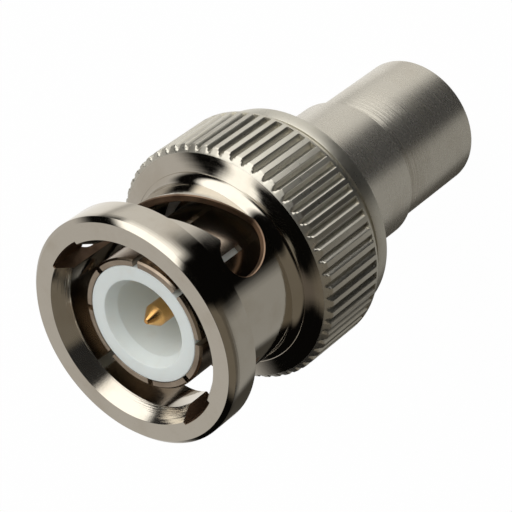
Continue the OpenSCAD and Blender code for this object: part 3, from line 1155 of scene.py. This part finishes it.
@dataclass
class SpringPack:
    """Thrust washer and the wave spring that presses it against the flange."""

    washer_inner: float = 4.68
    washer_outer: float = 5.82
    spring_inner: float = 4.76
    spring_outer: float = 5.74
    spring_thickness: float = 0.25
    clear: float = 0.03
    waves: int = 3
    travel: float = 0.8

    def build(self) -> None:
        """Makes the washer and the spring."""
        low, high = node_span("thrust_washer")
        outline = flat_ring(self.washer_inner, self.washer_outer, low, high, 0.05)
        dress(lathe("thrust_washer_dressed", outline), Body.SLIDER, Slot.WASHER, (WASHER,), "thrust_washer")
        self._spring()

    def _spring(self) -> None:
        """Wave spring, made flat and bent into its waves by Geometry Nodes."""
        foot = node_span("thrust_washer")[1]
        top = node_span("main_body")[1] - PhonoEnd.flange_width
        middle, room = (foot + top) / 2, top - foot
        half = self.spring_thickness / 2
        outline = flat_ring(self.spring_inner, self.spring_outer, middle - half, middle + half, 0.05)
        recipe = GeometryRecipe("bend_waves", {
            "Waves": float(self.waves),
            "Rise": (room - self.spring_thickness - 2 * self.clear) / 2 * MM,
            "Finish": STEEL.material(),
        })
        tree = recipe.tree
        place = tree.node("GeometryNodeInputPosition")
        x, y = tree.split(place, 2)
        lift = (y.math("ARCTAN2", x) * recipe.input("Waves")).math("COSINE") * recipe.input("Rise")
        bent = tree.node(
            "GeometryNodeSetPosition",
            None,
            {"Geometry": recipe.input("Geometry"), "Offset": tree.vector(0.0, 0.0, lift)},
        )
        spring = recipe.run(bent, lathe("spring_blank", outline), "wave_spring_dressed")
        dress(spring, Body.ROOT, Slot.SPRING, (STEEL,), "wave_spring")
        keep = (room - self.travel) / room
        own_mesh(spring)


# ---- studio ----


@dataclass(frozen=True)
class Card:
    """A reflector or flag inside the light tent, between two azimuths and two elevations.

    Azimuth 0 is +Y and 90 is +X, in degrees. An edge fades over softness degrees on each side.
    """

    name: str
    azimuths: tuple[float, float]
    elevations: tuple[float, float]
    tone: Colour
    softness: tuple[float, float] = (4.0, 3.0)


@dataclass
class Studio:
    """Floor, light tent, soft light and the camera."""

    floor_radius: float = 1.2
    tent_radius: float = 0.45
    tent_height: float = 0.02
    camera_place: tuple[float, float, float] = (-0.726, -101.78, 108.32)
    camera_down: float = 41.67
    camera_roll: float = -126.85
    lens: float = 164.8
    sensor: float = 36.0
    floor_glow: float = 0.985
    plain_light: float = 0.28

    TENT_TONE = (0.003, 0.0028, 0.0024)
    CARDS = (
        Card("brown_wall", (-152, -76), (-35, 60), (0.17, 0.148, 0.115), (7, 6)),
        Card("brown_ledge", (-85, -40), (52, 70), (0.13, 0.11, 0.09), (8, 5)),
        Card("grey_sheet", (-24, 61), (-60, 57), (0.55, 0.53, 0.50), (8, 6)),
        Card("softbox", (90, 154), (-36, 64), (1.75, 1.72, 1.65), (7, 6)),
        Card("softbox_top", (30, 112), (57, 77), (1.6, 1.58, 1.5), (8, 5)),
        Card("table_left", (-142, -58), (-95, -35.5), (0.34, 0.33, 0.305), (12, 1.5)),
        Card("table_dark", (-58, -8), (-95, -35.5), (0.06, 0.055, 0.045), (8, 1.5)),
        Card("table_near", (-8, 62), (-95, -35.5), (0.96, 0.94, 0.90), (5, 1.5)),
        Card("table_right", (62, 134), (-95, -35.5), (0.76, 0.74, 0.70), (16, 1.5)),
    )

    def build(self) -> None:
        """Sets up the whole studio."""
        self._floor()
        self._tent()
        self._lamps()
        self._world()
        self._camera()
        bpy.context.scene.view_settings.view_transform = "Standard"

    @staticmethod
    def _seen(tree: Tree) -> Value:
        """One where a ray comes from the camera, a reflection or through glass."""
        rays = [tree.node("ShaderNodeLightPath", None, None, out=name)
                for name in ("Is Camera Ray", "Is Glossy Ray", "Is Transmission Ray")]
        return rays[0].math("MAXIMUM", rays[1]).math("MAXIMUM", rays[2])

    def _floor(self) -> None:
        """Pale floor that shows white and keeps a faint shadow."""
        material, tree = empty_material("floor_paper")
        paper = tree.node("ShaderNodeBsdfDiffuse", None, {"Color": (0.9, 0.9, 0.9, 1)})
        glow = tree.node("ShaderNodeEmission", None, {"Color": (1, 1, 1, 1), "Strength": 1.0})
        share = self._seen(tree) * self.floor_glow
        mixed = tree.node("ShaderNodeMixShader", None, {0: share, 1: paper, 2: glow})
        tree.node("ShaderNodeOutputMaterial", None, {0: mixed})
        bm = bmesh.new()
        bmesh.ops.create_circle(bm, cap_ends=True, radius=self.floor_radius, segments=96)
        floor = self._painted("floor", bm, material)
        floor.visible_glossy = False

    def _tent(self) -> None:
        """Light tent round the whole part, seen only in reflections, with its cards painted inside."""
        material, tree = empty_material("light_tent")
        place = tree.node("ShaderNodeTexCoord", None, None, out="Object")
        x, y, z = tree.split(place)
        flat = (x * x + y * y).math("SQRT")
        azimuth = x.math("ARCTAN2", y) * math.degrees(1)
        elevation = (z - self.tent_height).math("ARCTAN2", flat) * math.degrees(1)
        tone: Any = self.TENT_TONE
        for card in self.CARDS:
            across, up = card.softness
            mask = self._between(azimuth, card.azimuths, across)
            mask = mask * self._between(elevation, card.elevations, up)
            tone = tree.mix(mask, tone, card.tone)
        glow = tree.node("ShaderNodeEmission", None, {"Color": tone, "Strength": 1.0})
        tree.node("ShaderNodeOutputMaterial", None, {0: glow})
        bm = bmesh.new()
        bmesh.ops.create_uvsphere(bm, u_segments=64, v_segments=32, radius=self.tent_radius)
        bmesh.ops.translate(bm, vec=(0, 0, self.tent_height), verts=bm.verts)
        tent = self._painted("light_tent", bm, material)
        for rays in ("camera", "diffuse", "shadow", "transmission", "volume_scatter"):
            setattr(tent, f"visible_{rays}", False)

    @staticmethod
    def _painted(
        name: str, bm: bmesh.types.BMesh, material: bpy.types.Material
    ) -> bpy.types.Object:
        """Turns a bmesh in metres into an object of one material."""
        mesh = bpy.data.meshes.new(name)
        bm.to_mesh(mesh)
        bm.free()
        mesh.materials.append(material)
        return new_object(name, mesh)

    @staticmethod
    def _between(value: Value, ends: tuple[float, float], softness: float) -> Value:
        """One between two ends, fading over softness on each side of them."""
        low, high = ends
        rise = value.ramp(low - softness, low + softness)
        fall = value.ramp(high - softness, high + softness, 1.0, 0.0)
        return rise * fall

    def _lamps(self) -> None:
        """One large soft key and a faint fill; the tent's cards stand for them in reflections."""
        self._area("key_softbox", 122.0, 44.0, 0.36, 0.40, 2.0)
        self._area("fill_softbox", 20.0, 35.0, 0.5, 0.5, 0.3)

    def _area(self, name: str, azimuth: float, elevation: float, distance: float, size: float,
              brightness: float) -> None:
        """A square softbox that faces the part.

        Args:
            name: Name of the lamp.
            azimuth: Direction from +Y towards +X, in degrees.
            elevation: Height above the floor, in degrees.
            distance: How far it stands, in metres.
            size: Side of the softbox, in metres.
            brightness: Radiance of its face, where 1 is white.
        """
        light = bpy.data.lights.new(name, "AREA")
        light.shape, light.size = "SQUARE", size
        light.energy = brightness * math.pi * size * size
        lamp = bpy.data.objects.new(name, light)
        lamp.visible_glossy = False
        a, e = math.radians(azimuth), math.radians(elevation)
        out = Vector((math.sin(a) * math.cos(e), math.cos(a) * math.cos(e), math.sin(e)))
        lamp.location = out * distance + Vector((0, 0, 0.02))
        lamp.rotation_mode = "QUATERNION"
        lamp.rotation_quaternion = out.to_track_quat("Z", "Y")
        bpy.context.scene.collection.objects.link(lamp)

    def _world(self) -> None:
        """White surroundings where they are seen, and a plain fill for diffuse light."""
        world = bpy.data.worlds.new("studio")
        bpy.context.scene.world = world
        world.use_nodes = True
        world.node_tree.nodes.clear()
        tree = Tree(world.node_tree)
        strength = self._seen(tree) * (1 - self.plain_light) + self.plain_light
        glow = tree.node("ShaderNodeBackground", None, {"Color": (1, 1, 1, 1), "Strength": strength})
        tree.node("ShaderNodeOutputWorld", None, {0: glow})

    def _camera(self) -> None:
        """Camera that looks down on the plug end."""
        data = bpy.data.cameras.new("camera")
        data.lens, data.sensor_width = self.lens, self.sensor
        data.clip_start, data.clip_end = 0.005, 10.0
        camera = bpy.data.objects.new("camera", data)
        turn = Matrix.Rotation(math.radians(90 - self.camera_down), 4, "X")
        roll = Matrix.Rotation(math.radians(self.camera_roll), 4, "Z")
        camera.matrix_world = Matrix.Translation(Vector(self.camera_place) * MM) @ turn @ roll
        bpy.context.scene.collection.objects.link(camera)
        bpy.context.scene.camera = camera


def main() -> None:
    """Builds every sub-assembly and the studio."""
    logging.basicConfig(level=logging.INFO, format="%(message)s")
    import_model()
    for part in (CouplingNut(), PlugEnd(), PhonoEnd(), SpringPack(), Studio()):
        part.build()
        LOG.info("built %s", type(part).__name__)


if __name__ == "__main__":
    main()
